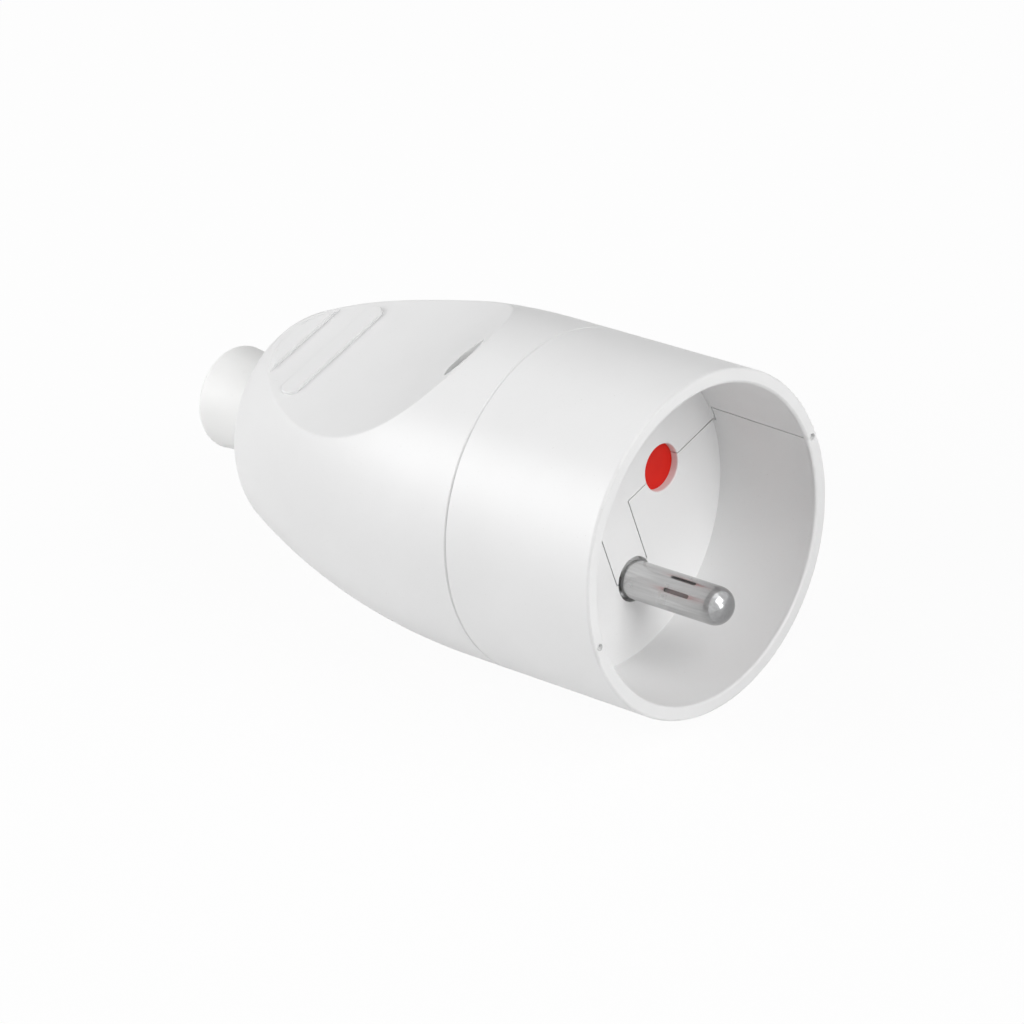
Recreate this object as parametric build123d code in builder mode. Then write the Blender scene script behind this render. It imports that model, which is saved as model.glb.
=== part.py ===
from build123d import *
import os
from math import asin, cos, degrees, hypot, radians, sin, sqrt

os.makedirs("parts", exist_ok=True)

# A portable in-line socket outlet, lying on its side. The origin is the centre of the
# face that a plug seats on, +X points out of the mouth and +Z up through the grip pad.

# Socket face, to the French and Belgian pattern
recess_radius = 19.5
recess_depth = 15.2
seat_thickness = 1.05
pin_pitch = 19.0
plug_pin_radius = 2.4
aperture_radius = 2.95
aperture_round = 0.2

# Earth pin
earth_pin_radius = 2.4
earth_pin_drop = 10.0
earth_pin_reach = 15.0
earth_pin_nose = 2.1
earth_ring_width = 0.45
earth_neck_taper = 0.4
earth_shank_radius = 2.0
earth_flange_radius = 3.6
earth_flange_thickness = 1.6
earth_spigot_radius = 1.6
earth_spigot_length = 2.9
earth_mark_length = 3.9
earth_mark_width = 0.5
earth_mark_depth = 0.25
earth_mark_reach = 8.5
earth_mark_angles = (87, 132)

# Outer body
insert_wall = 0.85
sleeve_wall = 0.9
lip_thickness = 0.5
housing_wall = 2.0
end_wall = 2.3
seam_setback = 7.35
seam_width = 0.05
seam_chamfer = 0.16
barrel_setback = 14.0
taper_radius = 94.0
rear_round = 5.5
rim_round = 0.35
spigot_length = 3.3
rim_notch_radius = 0.45
rim_notch_depth = 0.6
rim_notch_height = 0.85

# Grip pads, above and below
pad_floor_cover = 3.36
pad_radius = 38.4
pad_setback = 37.6
pad_slope = 4.7
pad_edge_round = 0.35
bar_height = 0.4
bar_round = 0.18
bar_width = 2.4
bar_half_length = 9.0
bar_offsets = (0.8, 6.6)

# Latches, above and below
window_setback = 17.15
window_half_length = 3.7
window_half_width = 1.85
latch_arm_inset = 0.8
latch_arm_half_width = 3.2
latch_arm_thickness = 1.2
latch_arm_bend = 5.2
latch_arm_clearance = 1.3
latch_arm_overhang = 0.4
latch_hook_recess = 0.9

# Cord collar
collar_length = 12.1
collar_neck_radius = 6.0
collar_rim_radius = 6.75
collar_bore = 4.9
collar_flange_radius = 8.6
collar_flange_thickness = 1.7
collar_round = 0.85
collar_lug_reach = 7.6
collar_lug_width = 1.6
collar_lug_length = 1.2
collar_lug_count = 4

# Safety shutter
shutter_cover = 3.5
shutter_half_height = 3.4
shutter_thickness = 2.0
shutter_corner = 0.8
shutter_travel = 7.0
shutter_angle = 30.0
ear_length = 4.0
ear_thickness = 1.4
ear_width = 1.2
ear_setback = 1.7
tab_half_width = 2.4
tab_length = 4.2
tab_thickness = 1.2
spring_radius = 1.2
spring_wire_radius = 0.13
spring_turns = 7
spring_wire_sides = 6
spring_setback = 5.85
spring_length = 13.4

# Insert halves
shutter_case_depth = 9.0
shutter_case_side = 2.4
shutter_case_top = 10.8
contact_case_depth = 20.1
contact_case_side = 4.8
contact_case_height = 5.4
contact_seat_depth = 17.4
tower_half_width = 3.6
tower_height = 18.2
earth_spine_half_width = 4.7
earth_spine_cover = 0.6
parting_gap = 0.15
parting_rise = 2.0
parting_rise_at_rim = 1.3
parting_step_reach = 0.4
tongue_half_width = 2.8

# Contacts and terminals
contact_wall = 0.6
contact_setback = 8.0
contact_length = 10.6
contact_slot = 1.2
contact_slot_length = 8.0
contact_flare = 0.35
contact_tongue_half_width = 2.2
clip_wire = 0.45
clip_length = 2.4
clip_setback = 10.2
clip_opening = 2.4
terminal_setback = 20.6
terminal_length = 6.4
terminal_half_width = 3.1
terminal_bottom = -4.2
terminal_top = 4.0
terminal_chamfer = 0.4
conductor_radius = 1.9
conductor_drop = 0.6
earth_terminal_length = 8.0
earth_terminal_height = 6.8
earth_terminal_lift = 0.8
earth_conductor_radius = 1.7
earth_screw_inset = 2.5
screw_radius = 1.7
screw_head_radius = 2.6
screw_head_height = 2.0
screw_slot_width = 0.8
screw_slot_depth = 1.0
screw_lift = 1.0
screw_chamfer = 0.3

# Tail tray, cord clamp and closing screws
tray_floor_thickness = 1.3
tray_wall = 1.3
tray_wall_top = 2.5
divider_top = 5.0
wiring_space = 7.55
collar_room = 10.6
tail_half_width = 9.6
saddle_margin = 1.0
saddle_length = 5.0
saddle_radius = 4.2
saddle_top = 1.0
grip_rib_radius = 0.35
grip_rib_offset = 1.2
clamp_bar_thickness = 2.0
clamp_arch_half_width = 5.0
clamp_arch_top = 5.6
clamp_arch_round = 1.2
clamp_screw_offset = 7.5
clamp_screw_radius = 1.3
clamp_screw_length = 6.0
clamp_head_radius = 2.1
clamp_head_height = 1.6
closing_screw_offset = 16.2
closing_boss_radius = 2.6
closing_flange_top = 2.2
closing_boss_bottom = -6.5
closing_boss_floor = 1.0
closing_screw_radius = 1.2
closing_head_radius = 2.2
closing_head_height = 1.6

# Fits
grip_fit = 0.02
slip_fit = 0.05
loose_fit = 0.15
core_fit = 0.2

# How far a cutting shape runs past the piece that it cuts
cut_margin = 1.0

# Places that follow from the sizes above
contact_offset = pin_pitch / 2
shutter_half_width = contact_offset + shutter_cover
shutter_case_half_width = shutter_half_width + shutter_case_side
contact_case_half_width = contact_offset + contact_case_side
insert_radius = recess_radius + insert_wall
sleeve_bore = insert_radius + slip_fit
body_radius = sleeve_bore + sleeve_wall
core_radius = body_radius - housing_wall - core_fit
lip_rear = recess_depth - lip_thickness
pad_floor = earth_pin_drop + pad_floor_cover
insert_back = seam_setback - spigot_length - loose_fit
case_bottom = -contact_case_height
floor_top = terminal_bottom - slip_fit
floor_bottom = floor_top - tray_floor_thickness
earth_flange_setback = seat_thickness + slip_fit
earth_spine_height = earth_pin_drop + earth_flange_radius + earth_spine_cover
earth_shank_end = terminal_setback - earth_spigot_length
earth_terminal_setback = earth_shank_end + slip_fit
earth_terminal_rear = earth_terminal_setback + earth_terminal_length
earth_terminal_middle = earth_terminal_lift - earth_pin_drop
earth_terminal_top = earth_terminal_middle + earth_terminal_height / 2
earth_terminal_bottom = earth_terminal_middle - earth_terminal_height / 2
closing_screw_setback = clip_setback + clip_length + closing_head_radius + loose_fit
tray_rear = terminal_setback + terminal_length + tray_wall + loose_fit
saddle_setback = tray_rear + wiring_space
tail_setback = saddle_setback + saddle_length + saddle_margin
housing_setback = tail_setback + collar_room
end_wall_inside = housing_setback - end_wall
clamp_middle = saddle_setback + saddle_length / 2
clamp_bar_bottom = saddle_top + slip_fit
collar_rear = housing_setback + collar_length
flange_rear = end_wall_inside - slip_fit
flange_front = flange_rear - collar_flange_thickness
travel_back = -shutter_travel * sin(radians(shutter_angle))
travel_up = shutter_travel * cos(radians(shutter_angle))


def taper(x):
    """Outer radius of the rear housing at x, behind the straight barrel."""
    return body_radius - taper_radius + sqrt(taper_radius**2 - (x + barrel_setback) ** 2)


def rings_a_pad(edge):
    """Whether an edge is part of a grip pad's outline on the rear housing's outer skin."""
    middle = edge @ 0.5
    skin_radius = taper(min(middle.X, -barrel_setback))
    return abs(middle.Z) > slip_fit and abs(hypot(middle.Y, middle.Z) - skin_radius) < slip_fit


def housing_profile(inset, front, rear):
    """Half outline of the housing about X, drawn inside the outer skin by the inset."""
    radius = taper_radius - inset
    sweep = degrees(asin((rear - barrel_setback) / radius))
    centre = (-barrel_setback, body_radius - taper_radius)
    with BuildSketch(Plane.XZ) as outline:
        with BuildLine():
            curve = CenterArc(centre, radius, 90, sweep)
            Polyline(
                curve @ 1,
                (-rear, 0),
                (-front, 0),
                (-front, body_radius - inset),
                curve @ 0,
            )
        make_face()
    return outline.sketch


def pad_region(inset):
    """Space above the upper grip pad, sunk below its face by the inset."""
    radius = pad_radius + inset
    centre_height = pad_floor + pad_radius
    ceiling = body_radius + cut_margin
    start = -90 - pad_slope
    rise = degrees(asin((centre_height - ceiling) / radius))
    with BuildPart() as region:
        with BuildSketch(Plane.XZ):
            with BuildLine():
                curve = CenterArc((-pad_setback, centre_height), radius, start, -rise - start)
                flat = PolarLine(curve @ 0, housing_setback - pad_setback + cut_margin, 180 - pad_slope)
                Polyline(flat @ 1, ((flat @ 1).X, ceiling), curve @ 1)
            make_face()
        extrude(amount=body_radius, both=True)
    return region.part


def window_lens(clearance):
    """Pointed oval of a latch window, drawn smaller by the clearance."""
    half_length = window_half_length - clearance
    half_width = window_half_width - clearance
    with BuildSketch() as lens:
        with BuildLine():
            tip = (-window_setback, half_length)
            tail = (-window_setback, -half_length)
            ThreePointArc(tip, (-window_setback + half_width, 0), tail)
            ThreePointArc(tail, (-window_setback - half_width, 0), tip)
        make_face()
    return lens.sketch


def slide_path(front, rear, bottom, top, growth):
    """Section swept by a block of the shutter from closed to open, with growth all round."""
    with BuildSketch(Plane.XZ) as swept:
        with BuildLine():
            Polyline(
                (front + growth, bottom - growth),
                (front + growth, top + growth),
                (front + growth + travel_back, top + growth + travel_up),
                (rear - growth + travel_back, top + growth + travel_up),
                (rear - growth + travel_back, bottom - growth + travel_up),
                (rear - growth, bottom - growth),
                close=True,
            )
        make_face()
    return swept.sketch


def ear_outline(growth, reach):
    """Section of a shutter ear, lengthened by the reach along the way it slides."""
    low = -ear_length / 2 - growth
    high = ear_length / 2 + growth + reach
    side = ear_thickness / 2 + growth
    ear_plane = Plane(
        origin=(-seat_thickness - ear_setback, 0, 0),
        x_dir=(travel_back, 0, travel_up),
        z_dir=(0, -1, 0),
    )
    with BuildSketch(ear_plane) as outline:
        with BuildLine():
            Polyline((low, -side), (high, -side), (high, side), (low, side), close=True)
        make_face()
    return outline.sketch


def upper_region(gap):
    """Space of the upper insert half, grown downwards by the gap at the parting line."""
    front = recess_depth + cut_margin
    ceiling = body_radius + cut_margin
    step = parting_step_reach + gap
    slope = (parting_rise_at_rim - parting_rise) / recess_depth
    with BuildPart() as region:
        with BuildSketch(Plane.XZ):
            with BuildLine():
                Polyline(
                    (-contact_case_depth - gap, -gap),
                    (step, -gap),
                    (step, parting_rise - gap),
                    (front, parting_rise + slope * front - gap),
                    (front, ceiling),
                    (-contact_case_depth - gap, ceiling),
                    close=True,
                )
            make_face()
        extrude(amount=body_radius, both=True)
        tongue_foot = -earth_pin_drop + earth_pin_radius / 2 - gap
        with BuildSketch(Plane.YZ.offset(-seat_thickness - gap)):
            with Locations((0, tongue_foot)):
                Rectangle(
                    2 * (tongue_half_width + gap),
                    -tongue_foot,
                    align=(Align.CENTER, Align.MIN),
                )
        extrude(amount=seat_thickness + gap)
    return region.part


def slotted_screw(seat, shank_radius, shank_length, head_radius, head_height):
    """Screw with a slotted cheese head on the seat plane and its shank below it."""
    with BuildPart() as screw:
        with BuildSketch(seat):
            Circle(head_radius)
        extrude(amount=head_height)
        top_edge = screw.edges().sort_by(Axis.Z)[-1]
        chamfer(top_edge, length=screw_chamfer)
        with BuildSketch(seat.offset(head_height - screw_slot_depth)):
            Rectangle(screw_slot_width, 2 * head_radius)
        extrude(amount=screw_slot_depth, mode=Mode.SUBTRACT)
        with BuildSketch(seat):
            Circle(shank_radius)
        extrude(amount=-shank_length)
        chamfer(screw.edges().sort_by(Axis.Z)[0], length=screw_chamfer)
    return screw.part


# Front sleeve: the outer skin of the cup, turned in at the mouth over the insert
with BuildPart() as front_sleeve:
    with BuildSketch(Plane.XZ):
        with BuildLine():
            Polyline(
                (-seam_setback + seam_width, sleeve_bore),
                (-seam_setback + seam_width, body_radius),
                (recess_depth, body_radius),
                (recess_depth, recess_radius),
                (lip_rear, recess_radius),
                (lip_rear, sleeve_bore),
                close=True,
            )
        make_face()
    revolve(axis=Axis.X)
    mouth_edges = front_sleeve.edges().filter_by(GeomType.CIRCLE).group_by(Axis.X)[-1]
    fillet(mouth_edges, radius=rim_round)
    rear_edges = front_sleeve.edges().filter_by(GeomType.CIRCLE).group_by(Axis.X)[0]
    chamfer(rear_edges.sort_by(SortBy.RADIUS)[-1], length=seam_chamfer)
    notch_offset = (recess_radius + body_radius) / 2
    with BuildSketch(Plane.YZ.offset(recess_depth)):
        with Locations((notch_offset, rim_notch_height), (-notch_offset, rim_notch_height)):
            Circle(rim_notch_radius)
    extrude(amount=-rim_notch_depth, mode=Mode.SUBTRACT)

# Hollow of the rear housing, which keeps its wall under the grip pads
with BuildPart() as housing_hollow:
    add(housing_profile(housing_wall, seam_setback - spigot_length - cut_margin, end_wall_inside))
    revolve(axis=Axis.X)
    inner_pad = pad_region(housing_wall)
    add(inner_pad, mode=Mode.SUBTRACT)
    add(mirror(inner_pad, about=Plane.XY), mode=Mode.SUBTRACT)

# Two raised bars that cross the upper grip pad, ended by the housing's outer skin
with BuildPart() as grip_bars:
    pad_low = pad_floor + pad_radius * (1 - cos(radians(pad_slope)))
    pad_face = Plane(
        origin=(-pad_setback - pad_radius * sin(radians(pad_slope)), 0, pad_low),
        x_dir=(-cos(radians(pad_slope)), 0, sin(radians(pad_slope))),
        z_dir=(sin(radians(pad_slope)), 0, cos(radians(pad_slope))),
    )
    with BuildSketch(pad_face.offset(-bar_height)):
        with Locations(*[(place, 0) for place in bar_offsets]):
            SlotOverall(2 * bar_half_length, bar_width, rotation=90)
    extrude(amount=2 * bar_height)
    bar_tops = grip_bars.faces().sort_by(Axis(pad_face.origin, pad_face.z_dir))[-len(bar_offsets) :]
    fillet(bar_tops.edges(), radius=bar_round)
    add(housing_profile(bar_height / 2, seam_setback, housing_setback))
    revolve(axis=Axis.X, mode=Mode.INTERSECT)

# Rear housing: straight barrel, long taper, two grip pads and two latch windows
with BuildPart() as rear_housing:
    add(housing_profile(0, seam_setback, housing_setback))
    revolve(axis=Axis.X)
    end_edge = rear_housing.edges().filter_by(GeomType.CIRCLE).group_by(Axis.X)[0]
    fillet(end_edge, radius=rear_round)
    front_edge = rear_housing.edges().filter_by(GeomType.CIRCLE).group_by(Axis.X)[-1]
    chamfer(front_edge, length=seam_chamfer)
    with BuildSketch(Plane.YZ.offset(-seam_setback)):
        Circle(sleeve_bore - slip_fit)
    extrude(amount=spigot_length)
    pad_space = pad_region(0)
    add([pad_space, mirror(pad_space, about=Plane.XY)], mode=Mode.SUBTRACT)
    pad_edges = rear_housing.edges(Select.LAST).filter_by(rings_a_pad)
    fillet(pad_edges, radius=pad_edge_round)
    add([grip_bars.part, mirror(grip_bars.part, about=Plane.XY)])
    add(housing_hollow.part, mode=Mode.SUBTRACT)
    extrude(window_lens(0), amount=body_radius, both=True, mode=Mode.SUBTRACT)
    with BuildSketch(Plane.YZ.offset(-end_wall_inside)):
        Circle(collar_neck_radius + slip_fit)
    extrude(amount=-end_wall, mode=Mode.SUBTRACT)
    # Lugs in front of the collar's flange, which the soft flange snaps past
    with BuildSketch(Plane.YZ.offset(-flange_front + slip_fit)):
        with PolarLocations(collar_lug_reach, collar_lug_count, start_angle=45):
            Rectangle(
                taper(-flange_front) - housing_wall / 2 - collar_lug_reach,
                collar_lug_width,
                align=(Align.MIN, Align.CENTER),
            )
    extrude(amount=collar_lug_length)

# Cord collar: a short trumpet whose flange is held inside the housing's end wall
with BuildPart() as cord_collar:
    with BuildSketch(Plane.XZ):
        with BuildLine():
            trumpet = TangentArc(
                (-housing_setback, collar_neck_radius),
                (-collar_rear, collar_rim_radius),
                tangent=(-1, 0),
            )
            Polyline(
                trumpet @ 1,
                (-collar_rear, collar_bore),
                (-flange_front, collar_bore),
                (-flange_front, collar_flange_radius),
                (-flange_rear, collar_flange_radius),
                (-flange_rear, collar_neck_radius),
                trumpet @ 0,
            )
        make_face()
    revolve(axis=Axis.X)
    end_rings = cord_collar.edges().filter_by(GeomType.CIRCLE).group_by(Axis.X)[0]
    fillet(end_rings, radius=collar_round)

# Both insert halves as one block, before it is parted: cup, seat, cases and spine
with BuildPart() as insert_block:
    with BuildSketch(Plane.YZ.offset(-insert_back)):
        with Locations((0, case_bottom)):
            Rectangle(
                2 * shutter_case_half_width,
                shutter_case_top - case_bottom,
                align=(Align.CENTER, Align.MIN),
            )
        Rectangle(2 * tower_half_width, 2 * tower_height)
    extrude(amount=insert_back - shutter_case_depth)
    with BuildSketch(Plane.YZ.offset(-insert_back)):
        Rectangle(2 * contact_case_half_width, 2 * contact_case_height)
        with Locations((0, -earth_spine_height)):
            Rectangle(
                2 * earth_spine_half_width,
                earth_spine_height,
                align=(Align.CENTER, Align.MIN),
            )
    extrude(amount=insert_back - contact_case_depth)
    closing_places = Locations(
        (-closing_screw_setback, closing_screw_offset),
        (-closing_screw_setback, -closing_screw_offset),
    )
    with BuildSketch(Plane.XY.offset(closing_boss_bottom)):
        with closing_places:
            Circle(closing_boss_radius)
    extrude(amount=closing_flange_top - closing_boss_bottom)
    with BuildSketch(Plane.YZ.offset(-insert_back)):
        Circle(core_radius)
    extrude(amount=insert_back - contact_case_depth, mode=Mode.INTERSECT)
    with BuildSketch(Plane.XZ):
        with BuildLine():
            Polyline(
                (0, 0),
                (0, recess_radius),
                (lip_rear - grip_fit, recess_radius),
                (lip_rear - grip_fit, insert_radius),
                (-insert_back, insert_radius),
                (-insert_back, 0),
                close=True,
            )
        make_face()
    revolve(axis=Axis.X)
    # Chambers for the shutter plate, its two ears, its tab and its spring
    seat_back = -seat_thickness
    plate_rear = seat_back - slip_fit - shutter_thickness
    plate_front = seat_back - slip_fit
    plate_path = slide_path(plate_front, plate_rear, -shutter_half_height, shutter_half_height, slip_fit)
    extrude(plate_path, amount=shutter_half_width + slip_fit, both=True, mode=Mode.SUBTRACT)
    ear_path = ear_outline(slip_fit, shutter_travel)
    ear_reach = shutter_half_width + ear_width
    extrude(ear_path, amount=ear_reach + loose_fit, both=True, mode=Mode.SUBTRACT)
    tab_bottom = shutter_half_height - tab_thickness
    tab_rear = plate_rear - tab_length
    tab_path = slide_path(plate_rear, tab_rear, tab_bottom, shutter_half_height, slip_fit)
    extrude(tab_path, amount=tab_half_width + loose_fit, both=True, mode=Mode.SUBTRACT)
    with BuildSketch(Plane.XY.offset(shutter_half_height)):
        with Locations((-spring_setback, 0)):
            Circle(spring_radius + spring_wire_radius + loose_fit)
    extrude(amount=spring_length + slip_fit, mode=Mode.SUBTRACT)
    # Apertures and square chambers for the two contacts, narrower where their ends are held
    contact_places = Locations((contact_offset, 0), (-contact_offset, 0))
    contact_radius = plug_pin_radius + slip_fit + contact_wall
    with BuildSketch(Plane.YZ):
        with contact_places:
            Circle(aperture_radius)
    extrude(amount=-contact_setback, mode=Mode.SUBTRACT)
    seat_rings = insert_block.edges().filter_by(GeomType.CIRCLE).filter_by_position(Axis.X, 0, 0)
    fillet(seat_rings.sort_by(SortBy.RADIUS)[:2], radius=aperture_round)
    chamber_width = 2 * (contact_radius + clip_wire + 2 * loose_fit)
    with BuildSketch(Plane.YZ.offset(-contact_setback + slip_fit)):
        with contact_places:
            Rectangle(chamber_width, chamber_width)
    extrude(amount=contact_setback - contact_seat_depth - slip_fit, mode=Mode.SUBTRACT)
    with BuildSketch(Plane.YZ.offset(-contact_seat_depth)):
        with contact_places:
            Rectangle(2 * (contact_radius + slip_fit), 2 * (contact_radius + slip_fit))
    extrude(amount=contact_seat_depth - contact_case_depth, mode=Mode.SUBTRACT)
    # Bore for the earth pin, with a ring open to the seat and a pocket for its flange
    earth_place = Locations((0, -earth_pin_drop))
    with BuildSketch(Plane.YZ):
        with earth_place:
            Circle(earth_shank_radius + slip_fit)
    extrude(amount=-contact_case_depth, mode=Mode.SUBTRACT)
    with BuildSketch(Plane.YZ):
        with earth_place:
            Circle(earth_pin_radius + earth_ring_width)
    extrude(amount=-seat_thickness, mode=Mode.SUBTRACT)
    with BuildSketch(Plane.YZ.offset(-earth_flange_setback + slip_fit)):
        with earth_place:
            Circle(earth_flange_radius + slip_fit)
    extrude(amount=-earth_flange_thickness - 2 * slip_fit, mode=Mode.SUBTRACT)
    with BuildSketch(Plane.YZ.offset(-earth_shank_end)):
        with Locations((0, -earth_spine_height)):
            Rectangle(
                2 * (terminal_half_width + slip_fit),
                earth_spine_height + earth_terminal_top + slip_fit,
                align=(Align.CENTER, Align.MIN),
            )
    extrude(amount=earth_shank_end - contact_case_depth, mode=Mode.SUBTRACT)
    # Holes and head seats for the closing screws
    with BuildSketch(Plane.XY.offset(closing_boss_bottom + closing_boss_floor)):
        with closing_places:
            Circle(closing_screw_radius + slip_fit)
    extrude(amount=closing_flange_top - closing_boss_bottom, mode=Mode.SUBTRACT)
    with BuildSketch(Plane.XY.offset(closing_flange_top)):
        with closing_places:
            Circle(closing_head_radius + slip_fit)
    extrude(amount=contact_case_height, mode=Mode.SUBTRACT)

# Latch arm: a springy strip from the tower to a hook that fills the window from inside
with BuildPart() as latch_arm:
    arm_top = tower_height - latch_arm_inset
    arm_bottom = arm_top - latch_arm_thickness
    arm_tip = -window_setback - window_half_width - latch_arm_overhang
    latch_arm_tip_drop = arm_bottom + earth_terminal_bottom - latch_arm_clearance
    with BuildSketch(Plane.XZ):
        with BuildLine():
            Polyline(
                (-shutter_case_depth, arm_bottom),
                (-shutter_case_depth, arm_top),
                (-shutter_case_depth - latch_arm_bend, arm_top),
                (arm_tip, arm_top - latch_arm_tip_drop),
                (arm_tip, arm_bottom - latch_arm_tip_drop),
                (-shutter_case_depth - latch_arm_bend, arm_bottom),
                close=True,
            )
        make_face()
    extrude(amount=latch_arm_half_width, both=True)

# Hook on the arm, set back below the pad's face
with BuildPart() as latch_hook:
    extrude(window_lens(loose_fit + slip_fit), amount=tower_height)
    hook_foot = arm_bottom - latch_arm_tip_drop
    split(bisect_by=Plane.XY.offset(hook_foot), keep=Keep.TOP)
    add(pad_region(latch_hook_recess), mode=Mode.SUBTRACT)

# Rings that grip the cord, below in the saddle and above in the clamp bar's arch
with BuildPart() as grip_rings:
    with BuildSketch(Plane.XZ):
        with Locations(
            (-clamp_middle + grip_rib_offset, saddle_radius),
            (-clamp_middle - grip_rib_offset, saddle_radius),
        ):
            Circle(grip_rib_radius)
    revolve(axis=Axis.X)

# Upper insert half: upper part of the cup, its tongue down to the earth pin, one latch
with BuildPart() as insert_upper_half:
    add(insert_block.part)
    add(upper_region(0), mode=Mode.INTERSECT)
    add(latch_arm.part)
    add(latch_hook.part)

# Lower insert half: lower part of the cup, earth spine, terminal tray, cord saddle, latch
with BuildPart() as insert_lower_half:
    add(insert_block.part)
    add(upper_region(parting_gap), mode=Mode.SUBTRACT)
    add(mirror(latch_arm.part, about=Plane.XY))
    add(mirror(latch_hook.part, about=Plane.XY))
    tray_depth = tray_rear - contact_case_depth
    terminal_inner = contact_offset - terminal_half_width - slip_fit
    terminal_outer = contact_offset + terminal_half_width + slip_fit
    with BuildSketch(Plane.YZ.offset(-contact_case_depth)):
        with Locations((0, floor_bottom)):
            Rectangle(
                2 * (terminal_outer + tray_wall),
                tray_floor_thickness,
                align=(Align.CENTER, Align.MIN),
            )
        outer_wall = terminal_outer + tray_wall / 2
        with Locations((outer_wall, floor_bottom), (-outer_wall, floor_bottom)):
            Rectangle(tray_wall, tray_wall_top - floor_bottom, align=(Align.CENTER, Align.MIN))
        inner_wall = terminal_inner - tray_wall / 2
        with Locations((inner_wall, floor_bottom), (-inner_wall, floor_bottom)):
            Rectangle(tray_wall, divider_top - floor_bottom, align=(Align.CENTER, Align.MIN))
    extrude(amount=-tray_depth)
    earth_cheek = (earth_spine_half_width + terminal_half_width + slip_fit) / 2
    cheek_thickness = earth_spine_half_width - terminal_half_width - slip_fit
    cheek_bottom = earth_terminal_bottom
    with BuildSketch(Plane.YZ.offset(-contact_case_depth)):
        with Locations((earth_cheek, cheek_bottom), (-earth_cheek, cheek_bottom)):
            Rectangle(
                cheek_thickness,
                floor_top - cheek_bottom,
                align=(Align.CENTER, Align.MIN),
            )
    extrude(amount=contact_case_depth - earth_terminal_rear)
    with BuildSketch(Plane.YZ.offset(-contact_case_depth)):
        with Locations((0, cheek_bottom)):
            Rectangle(
                2 * (terminal_half_width + slip_fit),
                floor_top - cheek_bottom + slip_fit,
                align=(Align.CENTER, Align.MIN),
            )
    extrude(amount=contact_case_depth - earth_terminal_rear - loose_fit, mode=Mode.SUBTRACT)
    with BuildSketch(Plane.YZ.offset(-tray_rear)):
        with Locations((0, floor_bottom)):
            Rectangle(
                2 * tail_half_width,
                tray_floor_thickness,
                align=(Align.CENTER, Align.MIN),
            )
    extrude(amount=tray_rear - tail_setback)
    with BuildSketch(Plane.YZ.offset(-saddle_setback)):
        with Locations((0, floor_bottom)):
            Rectangle(
                2 * tail_half_width,
                saddle_top - floor_bottom,
                align=(Align.CENTER, Align.MIN),
            )
        Circle(saddle_radius, mode=Mode.SUBTRACT)
    extrude(amount=-saddle_length)
    rings_below = Plane.XY.offset(saddle_top)
    split(grip_rings.part, bisect_by=rings_below, keep=Keep.BOTTOM, mode=Mode.ADD)
    with BuildSketch(Plane.XY.offset(saddle_top)):
        with Locations((-clamp_middle, clamp_screw_offset), (-clamp_middle, -clamp_screw_offset)):
            Circle(clamp_screw_radius + slip_fit)
    extrude(amount=-clamp_screw_length + clamp_bar_thickness - loose_fit, mode=Mode.SUBTRACT)

# Safety shutter: a plate behind both apertures, two slanted ears and a tab for the spring
with BuildPart() as safety_shutter:
    with BuildSketch(Plane.YZ.offset(seat_back - slip_fit)):
        RectangleRounded(2 * shutter_half_width, 2 * shutter_half_height, radius=shutter_corner)
    extrude(amount=-shutter_thickness)
    extrude(ear_outline(0, 0), amount=ear_reach, both=True)
    ear_span = 2 * (shutter_half_width - ear_width)
    with BuildSketch(Plane.YZ.offset(plate_rear)):
        Rectangle(ear_span, 4 * shutter_half_height)
    extrude(amount=-2 * ear_length, mode=Mode.SUBTRACT)
    with BuildSketch(Plane.YZ.offset(plate_rear)):
        with Locations((0, tab_bottom)):
            Rectangle(2 * tab_half_width, tab_thickness, align=(Align.CENTER, Align.MIN))
    extrude(amount=-tab_length)

# Shutter spring: an open coil between the tab and the roof of the tower
with BuildPart() as shutter_spring:
    coil_length = spring_length - 2 * spring_wire_radius - slip_fit
    with BuildLine():
        coil = Helix(
            pitch=coil_length / spring_turns,
            height=coil_length,
            radius=spring_radius,
            center=(-spring_setback, 0, shutter_half_height + spring_wire_radius + slip_fit / 2),
        )
    with BuildSketch(Plane(origin=coil @ 0, z_dir=coil % 0)):
        RegularPolygon(spring_wire_radius, spring_wire_sides)
    sweep(is_frenet=True)

# Earth pin: rounded nose, plain shank, a flange held in the insert and a rear spigot
with BuildPart() as earth_pin:
    flange_back = earth_flange_setback + earth_flange_thickness
    spigot_rear = earth_shank_end + earth_spigot_length
    earth_plane = Plane(origin=(0, 0, -earth_pin_drop), x_dir=(1, 0, 0), z_dir=(0, -1, 0))
    earth_axis = Axis((0, 0, -earth_pin_drop), (1, 0, 0))
    with BuildSketch(earth_plane):
        with BuildLine():
            Polyline(
                (earth_pin_reach, 0),
                (earth_pin_reach, earth_pin_radius),
                (0, earth_pin_radius),
                (-earth_neck_taper, earth_shank_radius),
                (-earth_flange_setback, earth_shank_radius),
                (-earth_flange_setback, earth_flange_radius),
                (-flange_back, earth_flange_radius),
                (-flange_back, earth_shank_radius),
                (-earth_shank_end, earth_shank_radius),
                (-earth_shank_end, earth_spigot_radius),
                (-spigot_rear, earth_spigot_radius),
                (-spigot_rear, 0),
                close=True,
            )
        make_face()
    revolve(axis=earth_axis)
    nose_edge = earth_pin.edges().filter_by(GeomType.CIRCLE).group_by(Axis.X)[-1]
    fillet(nose_edge, radius=earth_pin_nose)
    for angle in earth_mark_angles:
        outward = Vector(0, cos(radians(angle)), sin(radians(angle)))
        mark_centre = Vector(earth_mark_reach, 0, -earth_pin_drop) + outward * earth_pin_radius
        with BuildSketch(Plane(origin=mark_centre, x_dir=(1, 0, 0), z_dir=outward)):
            SlotOverall(earth_mark_length, earth_mark_width)
        extrude(amount=earth_mark_depth, both=True, mode=Mode.SUBTRACT)

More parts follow.
